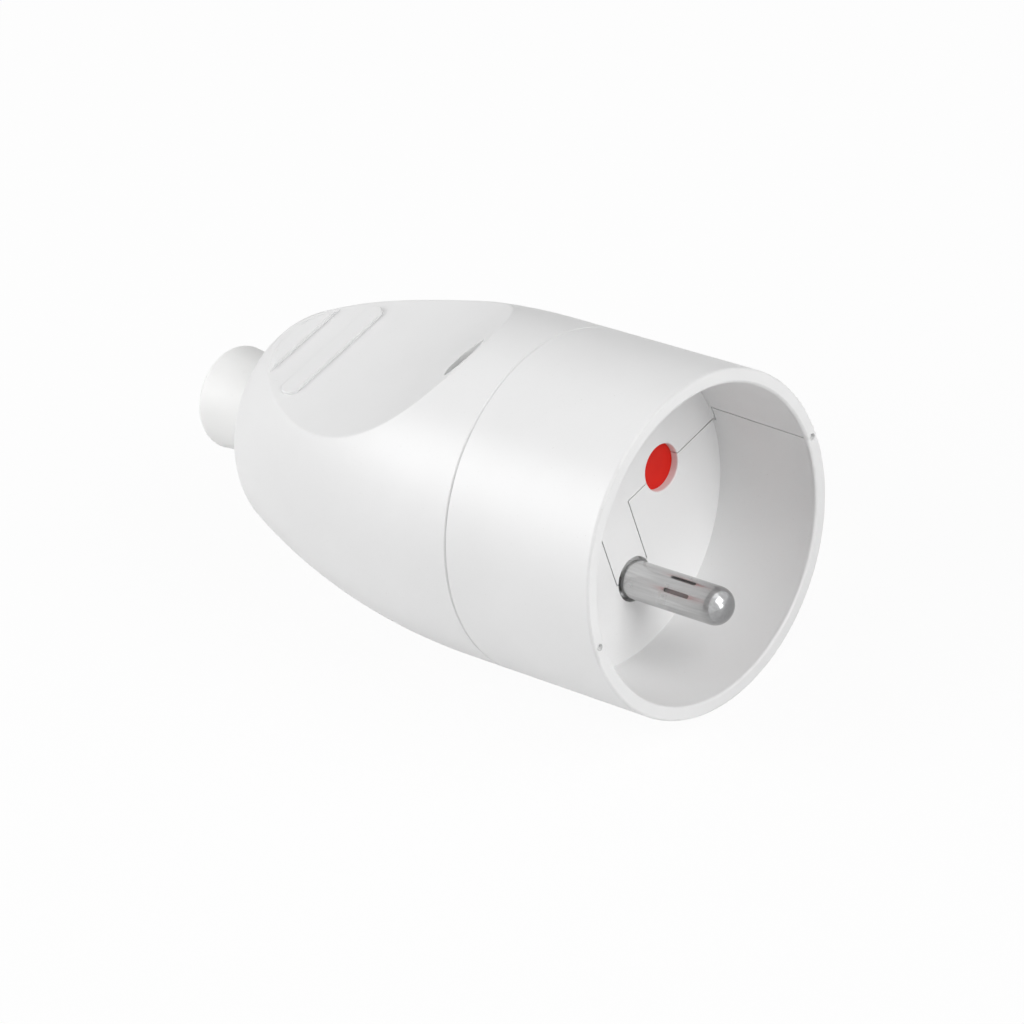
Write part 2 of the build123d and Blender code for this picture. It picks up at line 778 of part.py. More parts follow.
# Earth terminal: brass block pressed on the pin's spigot, bored for the conductor
with BuildPart() as earth_terminal:
    with BuildSketch(Plane.YZ.offset(-earth_terminal_setback)):
        with Locations((0, earth_terminal_middle)):
            Rectangle(2 * terminal_half_width, earth_terminal_height)
    extrude(amount=-earth_terminal_length)
    chamfer(earth_terminal.edges().filter_by(Axis.X), length=terminal_chamfer)
    with BuildSketch(Plane.YZ.offset(-earth_terminal_setback)):
        with Locations((0, -earth_pin_drop)):
            Circle(earth_spigot_radius + grip_fit)
    extrude(amount=-earth_spigot_length, mode=Mode.SUBTRACT)
    with BuildSketch(Plane.YZ.offset(-earth_terminal_rear)):
        with Locations((0, earth_terminal_middle)):
            Circle(earth_conductor_radius)
    conductor_reach = earth_terminal_length - earth_spigot_length - loose_fit
    extrude(amount=conductor_reach, mode=Mode.SUBTRACT)
    earth_screw_x = earth_screw_inset - earth_terminal_rear
    with BuildSketch(Plane.XY.offset(earth_terminal_middle)):
        with Locations((earth_screw_x, 0)):
            Circle(screw_radius + slip_fit)
    extrude(amount=earth_terminal_height, mode=Mode.SUBTRACT)

# Earth terminal screw, backed off as for wiring
with BuildPart() as earth_terminal_screw:
    earth_screw_seat = Plane((earth_screw_x, 0, earth_terminal_top + screw_lift))
    earth_screw_length = screw_lift + earth_terminal_height / 2 - earth_conductor_radius
    add(
        slotted_screw(
            earth_screw_seat, screw_radius, earth_screw_length, screw_head_radius, screw_head_height
        )
    )

# Live contact: a slotted sleeve for the plug's pin, with a tongue to its terminal
with BuildPart() as live_contact:
    with BuildSketch(Plane.YZ.offset(-contact_setback)):
        with Locations((-contact_offset, 0)):
            Circle(contact_radius)
    extrude(amount=-contact_length)
    tongue_start = contact_seat_depth + slip_fit
    tongue_end = terminal_setback + terminal_length - loose_fit
    with BuildSketch(Plane.YZ.offset(-tongue_start)):
        with Locations((-contact_offset, -contact_radius)):
            Rectangle(
                2 * contact_tongue_half_width, contact_wall, align=(Align.CENTER, Align.MIN)
            )
    extrude(amount=tongue_start - tongue_end)
    with BuildSketch(Plane.YZ.offset(-contact_setback)):
        with Locations((-contact_offset, 0)):
            Circle(plug_pin_radius + slip_fit)
    extrude(amount=-contact_length, mode=Mode.SUBTRACT)
    mouth = live_contact.edges().filter_by(GeomType.CIRCLE).group_by(Axis.X)[-1]
    chamfer(mouth.sort_by(SortBy.RADIUS)[0], length=contact_flare)
    with BuildSketch(Plane.YZ.offset(-contact_setback)):
        with Locations((-contact_offset, 0)):
            Rectangle(contact_slot, 2 * contact_radius + contact_wall)
    extrude(amount=-contact_slot_length, mode=Mode.SUBTRACT)

# Live contact clip: an open steel ring that squeezes the sleeve's two halves
with BuildPart() as live_contact_clip:
    clip_bore = contact_radius + grip_fit
    with BuildSketch(Plane.YZ.offset(-clip_setback)):
        with Locations((-contact_offset, 0)):
            Circle(clip_bore + clip_wire)
            Circle(clip_bore, mode=Mode.SUBTRACT)
        with Locations((-contact_offset + clip_bore, 0)):
            Rectangle(2 * clip_bore, clip_opening, mode=Mode.SUBTRACT)
    extrude(amount=-clip_length)

# Live terminal: brass block with a conductor hole, a slot for the tongue and a tapped hole
with BuildPart() as live_terminal:
    terminal_x = -terminal_setback - terminal_length / 2
    with BuildSketch(Plane.YZ.offset(-terminal_setback)):
        with Locations((-contact_offset, terminal_bottom)):
            Rectangle(
                2 * terminal_half_width,
                terminal_top - terminal_bottom,
                align=(Align.CENTER, Align.MIN),
            )
    extrude(amount=-terminal_length)
    chamfer(live_terminal.edges().filter_by(Axis.X), length=terminal_chamfer)
    with BuildSketch(Plane.YZ.offset(-terminal_setback)):
        with Locations((-contact_offset, -conductor_drop)):
            Circle(conductor_radius)
        with Locations((-contact_offset, -contact_radius - slip_fit)):
            Rectangle(
                2 * (contact_tongue_half_width + slip_fit),
                contact_wall + 2 * slip_fit,
                align=(Align.CENTER, Align.MIN),
            )
    extrude(amount=-terminal_length, mode=Mode.SUBTRACT)
    with BuildSketch(Plane.XY.offset(-conductor_drop)):
        with Locations((terminal_x, -contact_offset)):
            Circle(screw_radius + slip_fit)
    extrude(amount=terminal_top - terminal_bottom, mode=Mode.SUBTRACT)

# Live terminal screw, backed off as for wiring
with BuildPart() as live_terminal_screw:
    live_screw_seat = Plane((terminal_x, -contact_offset, terminal_top + screw_lift))
    live_screw_length = screw_lift + terminal_top + conductor_drop - conductor_radius
    add(
        slotted_screw(
            live_screw_seat, screw_radius, live_screw_length, screw_head_radius, screw_head_height
        )
    )

# The neutral side is the live side's mirror image
with BuildPart() as neutral_contact:
    mirror(live_contact.part, about=Plane.XZ)
with BuildPart() as neutral_contact_clip:
    mirror(live_contact_clip.part, about=Plane.XZ)
with BuildPart() as neutral_terminal:
    mirror(live_terminal.part, about=Plane.XZ)
with BuildPart() as neutral_terminal_screw:
    mirror(live_terminal_screw.part, about=Plane.XZ)

# Cord clamp bar: a bridge over the saddle with an arch for the cord
with BuildPart() as cord_clamp_bar:
    with BuildSketch(Plane.YZ.offset(-saddle_setback)):
        with Locations((0, clamp_bar_bottom)):
            Rectangle(
                2 * tail_half_width, clamp_bar_thickness, align=(Align.CENTER, Align.MIN)
            )
            Rectangle(
                2 * clamp_arch_half_width,
                clamp_arch_top - clamp_bar_bottom,
                align=(Align.CENTER, Align.MIN),
            )
        Circle(saddle_radius, mode=Mode.SUBTRACT)
    extrude(amount=-saddle_length)
    with BuildSketch(Plane.XY.offset(clamp_bar_bottom)):
        with Locations((-clamp_middle, clamp_screw_offset), (-clamp_middle, -clamp_screw_offset)):
            Circle(clamp_screw_radius + slip_fit)
    extrude(amount=clamp_bar_thickness, mode=Mode.SUBTRACT)
    arch_edges = cord_clamp_bar.edges().filter_by(Axis.X).group_by(Axis.Z)[-1]
    fillet(arch_edges, radius=clamp_arch_round)
    rings_above = Plane.XY.offset(clamp_bar_bottom)
    split(grip_rings.part, bisect_by=rings_above, keep=Keep.TOP, mode=Mode.ADD)

# Cord clamp screws, one each side of the arch
with BuildPart() as cord_clamp_screw_left:
    left_seat = Plane((-clamp_middle, -clamp_screw_offset, clamp_bar_bottom + clamp_bar_thickness))
    add(
        slotted_screw(
            left_seat, clamp_screw_radius, clamp_screw_length, clamp_head_radius, clamp_head_height
        )
    )
with BuildPart() as cord_clamp_screw_right:
    mirror(cord_clamp_screw_left.part, about=Plane.XZ)

# Closing screws, which hold the two insert halves together
with BuildPart() as closing_screw_left:
    closing_seat = Plane((-closing_screw_setback, -closing_screw_offset, closing_flange_top))
    closing_length = closing_flange_top - closing_boss_bottom - closing_boss_floor - loose_fit
    add(
        slotted_screw(
            closing_seat,
            closing_screw_radius,
            closing_length,
            closing_head_radius,
            closing_head_height,
        )
    )
with BuildPart() as closing_screw_right:
    mirror(closing_screw_left.part, about=Plane.XZ)

pieces = {
    "front_sleeve": front_sleeve,
    "rear_housing": rear_housing,
    "cord_collar": cord_collar,
    "insert_upper_half": insert_upper_half,
    "insert_lower_half": insert_lower_half,
    "safety_shutter": safety_shutter,
    "shutter_spring": shutter_spring,
    "earth_pin": earth_pin,
    "earth_terminal": earth_terminal,
    "earth_terminal_screw": earth_terminal_screw,
    "live_contact": live_contact,
    "neutral_contact": neutral_contact,
    "live_contact_clip": live_contact_clip,
    "neutral_contact_clip": neutral_contact_clip,
    "live_terminal": live_terminal,
    "neutral_terminal": neutral_terminal,
    "live_terminal_screw": live_terminal_screw,
    "neutral_terminal_screw": neutral_terminal_screw,
    "cord_clamp_bar": cord_clamp_bar,
    "cord_clamp_screw_left": cord_clamp_screw_left,
    "cord_clamp_screw_right": cord_clamp_screw_right,
    "closing_screw_left": closing_screw_left,
    "closing_screw_right": closing_screw_right,
}
for name, piece in pieces.items():
    piece.part.label = name
    export_step(piece.part, f"parts/{name}.step")
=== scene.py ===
import math

import bpy
from mathutils import Matrix, Vector


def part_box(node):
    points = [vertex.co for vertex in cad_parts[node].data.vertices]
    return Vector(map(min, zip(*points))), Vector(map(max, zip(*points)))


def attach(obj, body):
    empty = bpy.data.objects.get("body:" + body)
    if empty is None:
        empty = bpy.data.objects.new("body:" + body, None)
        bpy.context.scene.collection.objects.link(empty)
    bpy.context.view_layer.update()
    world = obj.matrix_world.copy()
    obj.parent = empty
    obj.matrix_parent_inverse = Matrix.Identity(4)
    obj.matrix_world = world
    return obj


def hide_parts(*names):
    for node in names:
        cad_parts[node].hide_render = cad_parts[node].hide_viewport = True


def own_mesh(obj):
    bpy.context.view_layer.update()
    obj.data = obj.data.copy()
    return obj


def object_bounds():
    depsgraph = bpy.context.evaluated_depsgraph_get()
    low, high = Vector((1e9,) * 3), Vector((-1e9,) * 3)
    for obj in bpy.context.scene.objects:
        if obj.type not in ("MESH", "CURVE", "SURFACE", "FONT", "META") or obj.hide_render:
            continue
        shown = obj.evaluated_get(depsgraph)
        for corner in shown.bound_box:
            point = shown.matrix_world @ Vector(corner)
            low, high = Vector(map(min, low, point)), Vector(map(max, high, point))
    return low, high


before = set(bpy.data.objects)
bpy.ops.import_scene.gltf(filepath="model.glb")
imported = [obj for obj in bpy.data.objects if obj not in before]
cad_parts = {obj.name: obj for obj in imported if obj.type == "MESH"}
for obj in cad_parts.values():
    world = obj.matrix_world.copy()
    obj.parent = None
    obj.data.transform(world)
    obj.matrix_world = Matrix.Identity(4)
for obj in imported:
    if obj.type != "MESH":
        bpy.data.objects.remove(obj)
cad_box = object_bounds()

# Sizes in metres
MM = 0.001
floor_half = 4.0
floor_level = cad_box[0].z

# Camera: its place and its own three directions, with a long lens as in a catalogue picture
camera_place = Vector((0.3718, -0.3021, 0.3520))
camera_right = Vector((0.7312, 0.6274, -0.2679))
camera_up = Vector((-0.2350, 0.6003, 0.7645))
camera_back = Vector((0.6405, -0.4960, 0.5863))
camera_lens = 175.8
camera_sensor = 36.0


# Shader arithmetic
class Value:
    """One output of a node. Arithmetic on values adds the Math nodes that work it out."""

    def __init__(self, finish, socket):
        self.finish = finish
        self.socket = socket

    def __add__(self, other):
        return self.finish.math("ADD", self, other)

    def __radd__(self, other):
        return self.finish.math("ADD", other, self)

    def __sub__(self, other):
        return self.finish.math("SUBTRACT", self, other)

    def __rsub__(self, other):
        return self.finish.math("SUBTRACT", other, self)

    def __mul__(self, other):
        return self.finish.math("MULTIPLY", self, other)

    def __rmul__(self, other):
        return self.finish.math("MULTIPLY", other, self)

    def __truediv__(self, other):
        return self.finish.math("DIVIDE", self, other)

    def __rtruediv__(self, other):
        return self.finish.math("DIVIDE", other, self)

    def __pow__(self, other):
        return self.finish.math("POWER", self, other)

    def __abs__(self):
        return self.finish.node("ShaderNodeMath", {"operation": "ABSOLUTE"}, {0: self})

    def between(self, low, high):
        """0 below low, 1 above high and a straight ramp from one to the other."""
        return self.finish.node(
            "ShaderNodeMapRange",
            {"clamp": True},
            {"Value": self, "From Min": low, "From Max": high, "To Min": 0.0, "To Max": 1.0},
        )


class Finish:
    """A material, or the room's light, being built from nodes on the object's own coordinates."""

    def __init__(self, made):
        self.made = made
        made.use_nodes = True
        self.tree = made.node_tree
        self.tree.nodes.clear()

    def place(self):
        return self.node("ShaderNodeTexCoord", output="Object")

    def node(self, kind, settings=None, inputs=None, output=0):
        """Adds one node: its settings first, then the values or links of its sockets."""
        made = self.tree.nodes.new(kind)
        for name, value in (settings or {}).items():
            setattr(made, name, value)
        for name, value in (inputs or {}).items():
            if isinstance(value, Value):
                self.tree.links.new(value.socket, made.inputs[name])
            else:
                made.inputs[name].default_value = value
        return Value(self, made.outputs[output]) if made.outputs else None

    def math(self, operation, first, second):
        return self.node("ShaderNodeMath", {"operation": operation}, {0: first, 1: second})

    def scaled(self, x, y, z, turn=(0.0, 0.0, 0.0)):
        """The object's coordinates, turned and stretched."""
        return self.node(
            "ShaderNodeMapping",
            inputs={"Vector": self.place(), "Scale": (x, y, z), "Rotation": turn},
        )

    def noise(self, scale, detail=2.0, roughness=0.5, distortion=0.0, place=None):
        return self.node(
            "ShaderNodeTexNoise",
            inputs={
                "Vector": place or self.place(),
                "Scale": scale,
                "Detail": detail,
                "Roughness": roughness,
                "Distortion": distortion,
            },
        )

    def parts(self, place):
        """The three coordinates of a place."""
        split = self.tree.nodes.new("ShaderNodeSeparateXYZ")
        self.tree.links.new(place.socket, split.inputs[0])
        return [Value(self, socket) for socket in split.outputs]

    def blend(self, amount, first, second):
        """From the first colour to the second."""
        return self.node(
            "ShaderNodeMix",
            {"data_type": "RGBA"},
            {"Factor": amount, 6: first, 7: second},
            output=2,
        )

    def bump(self, height, distance, strength=1.0, below=None):
        inputs = {"Height": height, "Distance": distance, "Strength": strength}
        if below is not None:
            inputs["Normal"] = below
        return self.node("ShaderNodeBump", inputs=inputs)

    def surface(self, inputs):
        """Ends the material with a Principled shader."""
        shader = self.node("ShaderNodeBsdfPrincipled", inputs=inputs)
        self.node("ShaderNodeOutputMaterial", inputs={"Surface": shader})
        return self.made


def colour(red, green, blue):
    """A colour as it is read on a screen, from 0 to 255, as the shader's linear one."""

    def linear(level):
        level /= 255.0
        return level / 12.92 if level <= 0.04045 else ((level + 0.055) / 1.055) ** 2.4

    return (linear(red), linear(green), linear(blue), 1.0)


# Materials. Some of them follow the latch hooks or the earth pin, whose places come first.
# Each pair holds the start and the end of a soft edge.
hook_middle = -17.15 * MM
hook_side = (1.9 * MM, 2.1 * MM)
hook_face = (14.4 * MM, 14.8 * MM)
# Painted shade on the latch hooks, in the middle of their windows
window_shade_middle = -0.4 * MM
window_shade_side = (0.4 * MM, 4.2 * MM)
window_shade_strength = 0.75
pin_radius = 2.4 * MM
pin_height = -10.0 * MM
# Painted shade in the pin's two slots
slots_front = (12.4 * MM, 12.6 * MM)
slots_back = (1.0 * MM, 1.3 * MM)
slots_floor = (0.04 * MM, 0.2 * MM)
slots_shade = 0.6
# Painted light on the upper side of the pin's neck
neck_front = (-0.12 * MM, 0.0)
neck_upper = (0.2 * MM, 1.3 * MM)
neck_lean_across = 0.55
neck_lean_up = 0.83
# Painted dark reflection on the pin's nose
nose_edge = (12.3 * MM, 14.4 * MM)


def hook_window_shade(finish):
    """Painted shade on the two latch hooks, darkest in the middle of their windows."""
    along, across, upward = finish.parts(finish.place())
    hook = 1 - abs(along - hook_middle).between(*hook_side)
    hook = hook * abs(upward).between(*hook_face)
    return hook * (1 - abs(across - window_shade_middle).between(*window_shade_side))


def hard_white_plastic(name="shell_white", dust_and_shade=None):
    """The shell and the insert: hard moulding plastic, neutral white and half glossy."""
    finish = Finish(bpy.data.materials.new(name))
    cloud = finish.noise(scale=38.0, detail=3.0, roughness=0.55)
    drawn = finish.scaled(0.35, 1.0, 1.0)
    flow = finish.noise(scale=55.0, detail=4.0, roughness=0.6, distortion=0.8, place=drawn)
    speck = finish.noise(scale=5200.0, detail=1.0, roughness=0.5).between(0.74, 0.80)
    tone = finish.blend(cloud.between(0.3, 0.7), colour(234, 234, 234), colour(239, 239, 239))
    tone = finish.blend(speck * 0.25, tone, colour(170, 166, 158))
    # On the insert, painted shade darkens the latch hooks inside their windows
    if dust_and_shade:
        tone = finish.blend(dust_and_shade(finish) * window_shade_strength, tone, colour(176, 176, 174))
    slanted = finish.scaled(0.06, 1.0, 1.0, turn=(0.3, 0.5, 0.9))
    rubs = finish.noise(scale=900.0, detail=3.0, roughness=0.6, distortion=0.3, place=slanted)
    rubs = rubs.between(0.66, 0.78)
    handled = finish.noise(scale=70.0, detail=4.0, roughness=0.6).between(0.45, 0.75)
    roughness = 0.33 + flow * 0.07 + handled * 0.05 + rubs * 0.12
    orange_peel = finish.noise(scale=420.0, detail=2.0, roughness=0.45)
    grain = finish.noise(scale=4200.0, detail=2.0, roughness=0.5)
    relief = finish.bump(orange_peel, distance=0.018 * MM, strength=0.6)
    relief = finish.bump(grain, distance=0.004 * MM, strength=0.6, below=relief)
    return finish.surface(
        {
            "Base Color": tone,
            "Roughness": roughness,
            "Normal": relief,
            "IOR": 1.5,
        }
    )


def insert_plastic():
    # The insert, with painted shade on its latch hooks
    return hard_white_plastic("insert_white", hook_window_shade)


def soft_white_plastic():
    """The cord collar: a softer, slightly waxy white."""
    finish = Finish(bpy.data.materials.new("collar_white"))
    cloud = finish.noise(scale=60.0, detail=3.0, roughness=0.5)
    tone = finish.blend(cloud.between(0.3, 0.7), colour(243, 243, 242), colour(247, 247, 246))
    dust_and_shade = finish.noise(scale=700.0, detail=5.0, roughness=0.65).between(0.6, 0.8)
    tone = finish.blend(dust_and_shade * 0.12, tone, colour(190, 188, 183))
    roughness = 0.42 + finish.noise(scale=240.0, detail=3.0, roughness=0.6) * 0.14
    grain = finish.noise(scale=1500.0, detail=3.0, roughness=0.55)
    relief = finish.bump(grain, distance=0.01 * MM, strength=0.7)
    return finish.surface(
        {
            "Base Color": tone,
            "Roughness": roughness,
            "Normal": relief,
            "IOR": 1.49,
            "Subsurface Weight": 0.18,
            "Subsurface Radius": (1.0, 1.0, 1.0),
            "Subsurface Scale": 2.0 * MM,
        }
    )


def red_plastic():
    """The safety shutter."""
    finish = Finish(bpy.data.materials.new("shutter_red"))
    cloud = finish.noise(scale=300.0, detail=3.0, roughness=0.55)
    tone = finish.blend(cloud.between(0.3, 0.7), colour(214, 22, 6), colour(224, 30, 12))
    sideways = finish.scaled(1.0, 0.08, 1.0)
    rubs = finish.noise(scale=1500.0, detail=3.0, roughness=0.6, distortion=0.2, place=sideways)
    rubs = rubs.between(0.62, 0.75)
    tone = finish.blend(rubs * 0.22, tone, colour(228, 70, 50))
    roughness = 0.46 + cloud * 0.08 + rubs * 0.12
    grain = finish.noise(scale=2600.0, detail=2.0, roughness=0.5)
    relief = finish.bump(grain, distance=0.008 * MM, strength=0.6)
    return finish.surface(
        {
            "Base Color": tone,
            "Roughness": roughness,
            "Normal": relief,
            "IOR": 1.5,
            "Specular IOR Level": 0.3,
        }
    )


def grey_plastic():
    """The cord clamp bar: glass-filled grey plastic."""
    finish = Finish(bpy.data.materials.new("clamp_grey"))
    cloud = finish.noise(scale=160.0, detail=4.0, roughness=0.6)
    tone = finish.blend(cloud, colour(126, 128, 130), colour(146, 147, 148))
    sideways = finish.scaled(1.0, 0.15, 1.0)
    fibre = finish.noise(scale=2400.0, detail=2.0, roughness=0.6, distortion=0.4, place=sideways)
    fibre = fibre.between(0.55, 0.75)
    tone = finish.blend(fibre * 0.3, tone, colour(170, 170, 168))
    roughness = 0.5 + fibre * 0.12
    relief = finish.bump(fibre, distance=0.01 * MM, strength=0.7)
    return finish.surface(
        {
            "Base Color": tone,
            "Roughness": roughness,
            "Normal": relief,
            "IOR": 1.5,
        }
    )


def bright_metal(name, dark, light, tarnish, lines, roughness, painted_shade=None, nose_reflection=None, painted_light=None):
    """Plated or drawn metal with fine lines along or round it and a little tarnish.

    On the pin it is also given painted shade in its slots, a smoother nose with a painted dark
    reflection, and painted light on the upper side of its neck.
    """
    finish = Finish(bpy.data.materials.new(name))
    drawn = finish.scaled(*lines)
    streak = finish.noise(scale=3200.0, detail=3.0, roughness=0.6, place=drawn)
    cloud = finish.noise(scale=210.0, detail=4.0, roughness=0.6, distortion=0.3)
    tone = finish.blend(streak.between(0.25, 0.75), dark, light)
    stain = cloud.between(0.55, 0.8)
    tone = finish.blend(stain * 0.35, tone, tarnish)
    worn = roughness + streak * 0.12 + stain * 0.16
    # The nose is smoother and gets a painted dark reflection
    if nose_reflection:
        reflected = nose_reflection(finish)
        tone = finish.blend(reflected * 0.6, tone, colour(150, 151, 153))
        worn = worn - reflected * 0.06
    # Painted shade in the pin's slots
    if painted_shade:
        shaded = painted_shade(finish)
        tone = finish.blend(shaded, tone, colour(52, 50, 47))
        worn = worn + shaded * 0.3
    metallic = 1.0
    # Painted light on the upper side of the pin's neck, white and not metal
    if painted_light:
        lit = painted_light(finish)
        tone = finish.blend(lit, tone, colour(232, 232, 232))
        worn = worn + lit * 0.2
        metallic = 1 - lit
    relief = finish.bump(streak, distance=0.006 * MM, strength=0.7)
    return finish.surface(
        {
            "Base Color": tone,
            "Metallic": metallic,
            "Roughness": worn,
            "Normal": relief,
        }
    )


def slot_painted_shade(finish):
    """Painted shade in the two slots, which lie under the pin's round surface, and 0 elsewhere.
    """
    along, across, upward = finish.parts(finish.place())
    lifted = upward - pin_height
    depth = pin_radius - (across * across + lifted * lifted) ** 0.5
    shank = along.between(*slots_back) * (1 - along.between(*slots_front))
    return depth.between(*slots_floor) * shank * slots_shade


def neck_painted_light(finish):
    """Painted light on the upper side of the pin's sunken neck and flange: white, and not metal.
    """
    along, across, upward = finish.parts(finish.place())
    upper = across * neck_lean_across + (upward - pin_height) * neck_lean_up
    return (1 - along.between(*neck_front)) * upper.between(*neck_upper)


def nose_painted_reflection(finish):
    """The pin's round end: smoother where plugs have rubbed it, and darker with a painted dark
    reflection.
    """
    along = finish.parts(finish.place())[0]
    return along.between(*nose_edge)


def pin_metal():
    return bright_metal(
        "pin_nickel",
        dark=colour(184, 184, 184),
        light=colour(214, 214, 214),
        tarnish=colour(158, 156, 152),
        lines=(0.04, 1.0, 1.0),
        roughness=0.19,
        # The slots get painted shade, the nose a painted dark reflection and the neck's upper
        # side painted light
        painted_shade=slot_painted_shade,
        nose_reflection=nose_painted_reflection,
        painted_light=neck_painted_light,
    )


def spring_metal():
    return bright_metal(
        "spring_steel",
        dark=colour(150, 152, 156),
        light=colour(196, 198, 201),
        tarnish=colour(116, 112, 108),
        lines=(1.0, 0.08, 0.08),
        roughness=0.2,
    )


def terminal_metal():
    return bright_metal(
        "terminal_brass",
        dark=colour(196, 158, 84),
        light=colour(226, 192, 118),
        tarnish=colour(140, 104, 58),
        lines=(0.05, 1.0, 1.0),
        roughness=0.26,
    )


def contact_metal():
    return bright_metal(
        "contact_brass",
        dark=colour(204, 170, 98),
        light=colour(232, 202, 132),
        tarnish=colour(150, 116, 70),
        lines=(0.06, 1.0, 1.0),
        roughness=0.22,
    )


def screw_metal():
    return bright_metal(
        "screw_steel",
        dark=colour(168, 170, 170),
        light=colour(206, 207, 204),
        tarnish=colour(150, 142, 112),
        lines=(1.0, 1.0, 0.06),
        roughness=0.28,
    )


makers = {
    "shell_white": hard_white_plastic,
    "insert_white": insert_plastic,
    "collar_white": soft_white_plastic,
    "shutter_red": red_plastic,
    "clamp_grey": grey_plastic,
    "pin_nickel": pin_metal,
    "spring_steel": spring_metal,
    "terminal_brass": terminal_metal,
    "contact_brass": contact_metal,
    "screw_steel": screw_metal,
}
finishes = {name: maker() for name, maker in makers.items()}

piece_finish = {
    "front_sleeve": "shell_white",
    "rear_housing": "shell_white",
    "insert_upper_half": "insert_white",
    "insert_lower_half": "insert_white",
    "cord_collar": "collar_white",
    "safety_shutter": "shutter_red",
    "shutter_spring": "spring_steel",
    "earth_pin": "pin_nickel",
    "earth_terminal": "terminal_brass",
    "live_terminal": "terminal_brass",
    "neutral_terminal": "terminal_brass",
    "live_contact": "contact_brass",
    "neutral_contact": "contact_brass",
    "live_contact_clip": "spring_steel",
    "neutral_contact_clip": "spring_steel",
    "earth_terminal_screw": "screw_steel",
    "live_terminal_screw": "screw_steel",
    "neutral_terminal_screw": "screw_steel",
    "cord_clamp_bar": "clamp_grey",
    "cord_clamp_screw_left": "screw_steel",
    "cord_clamp_screw_right": "screw_steel",
    "closing_screw_left": "screw_steel",
    "closing_screw_right": "screw_steel",
}


def dress(piece, finish):
    piece.data.materials.clear()
    piece.data.materials.append(finishes[finish])


for name, finish in piece_finish.items():
    dress(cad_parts[name], finish)


# Modelling by hand, in edit mode
coil_steps = 40
weld_distance = 0.0005 * MM
cut_tolerance = 0.0001 * MM
level_tolerance = 0.01 * MM


def clear_selection():
    if bpy.context.object and bpy.context.object.mode != "OBJECT":
        bpy.ops.object.mode_set(mode="OBJECT")
    bpy.ops.object.select_all(action="DESELECT")


def choose(piece):
    clear_selection()
    piece.select_set(True)
    bpy.context.view_layer.objects.active = piece


def edit(piece, kind="VERT"):
    """Opens a piece for editing with nothing selected in it."""
    choose(piece)
    bpy.ops.object.mode_set(mode="EDIT")
    bpy.ops.mesh.select_mode(type=kind)
    bpy.ops.mesh.select_all(action="DESELECT")


def pick(piece, wanted):
    """Selects the vertices that the test wants, and what lies between them."""
    bpy.ops.object.mode_set(mode="OBJECT")
    for vertex in piece.data.vertices:
        vertex.select = wanted(vertex.co)
    bpy.ops.object.mode_set(mode="EDIT")


def apply_modifier(piece, kind, settings):
    choose(piece)
    modifier = piece.modifiers.new(kind.lower(), kind)
    for name, value in settings.items():
        setattr(modifier, name, value)
    bpy.ops.object.modifier_apply(modifier=modifier.name)


def coil(name, profile_maker, turns, pitch, start):
    """Winds a profile that stands beside the Z axis into a helix about it."""
    piece = profile_maker(name, start)
    apply_modifier(
        piece,
        "SCREW",
        {
            "axis": "Z",
            "angle": 2 * math.pi,
            "screw_offset": pitch,
            "iterations": turns,
            "steps": coil_steps,
            "render_steps": coil_steps,
            "use_merge_vertices": True,
            "merge_threshold": weld_distance,
        },
    )
    return piece


def join(name, pieces):
    clear_selection()
    for piece in pieces:
        piece.select_set(True)
    bpy.context.view_layer.objects.active = pieces[0]
    bpy.ops.object.join()
    joined = bpy.context.object
    joined.name = name
    return joined


def face_outwards(piece):
    """Merges doubles, then turns every face outwards."""
    edit(piece)
    bpy.ops.mesh.select_all(action="SELECT")
    bpy.ops.mesh.remove_doubles(threshold=weld_distance)
    bpy.ops.mesh.normals_make_consistent(inside=False)
    bpy.ops.object.mode_set(mode="OBJECT")


def soften(piece, degrees):
    choose(piece)
    bpy.ops.object.shade_smooth_by_angle(angle=math.radians(degrees))


def hand_over(piece, node, slot):
    """Gives the finished piece its finish and its body, and puts it in its CAD node's place."""
    dress(piece, slot)
    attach(piece, "socket_body")
    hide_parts(node)


# Screws: a slotted cheese head on a threaded shank. Each size is the head's radius, the
# head's height and the shank's radius.
terminal_size = (2.6 * MM, 2.0 * MM, 1.7 * MM)
clamp_size = (2.1 * MM, 1.6 * MM, 1.3 * MM)
closing_size = (2.2 * MM, 1.6 * MM, 1.2 * MM)
head_sides = 56
head_round = 0.32 * MM
head_edge_break = 0.05 * MM
slot_half_width = 0.4 * MM
slot_depth = 0.95 * MM
shank_overlap = 0.25 * MM
shank_tip_scale = 0.86
thread_depth = 0.22 * MM
thread_pitch = 0.6 * MM
thread_run_in = 1.77 * thread_pitch
thread_spare_turns = 4

# The thread's section: how far each stretch goes outwards, and its share of the pitch
thread_section = (
    (0, 0.1),
    (thread_depth, 0.33),
    (0, 0.14),
    (-thread_depth, 0.33),
    (0, 0.1),
)


def thread_profile(radius):
    """A maker of one pitch of the thread's section, extruded from a single point."""

    def make(name, start):
        clear_selection()
        root = radius - thread_depth
        bpy.ops.mesh.primitive_plane_add(size=MM, location=(root, 0, start))
        piece = bpy.context.object
        piece.name = name
        bpy.ops.object.transform_apply(location=True)
        edit(piece)
        bpy.ops.mesh.select_all(action="SELECT")
        bpy.ops.mesh.merge(type="CENTER")
        for outward, along in thread_section:
            bpy.ops.mesh.extrude_region_move(
                TRANSFORM_OT_translate={"value": (outward, 0, along * thread_pitch)}
            )
        bpy.ops.object.mode_set(mode="OBJECT")
        return piece

    return make


def trim(piece, height, clear_above):
    """Cuts a piece level at a height, and closes the cut."""
    edit(piece)
    bpy.ops.mesh.select_all(action="SELECT")
    bpy.ops.mesh.bisect(
        plane_co=(0, 0, height),
        plane_no=(0, 0, 1),
        use_fill=True,
        clear_inner=not clear_above,
        clear_outer=clear_above,
        threshold=cut_tolerance,
    )
    bpy.ops.object.mode_set(mode="OBJECT")


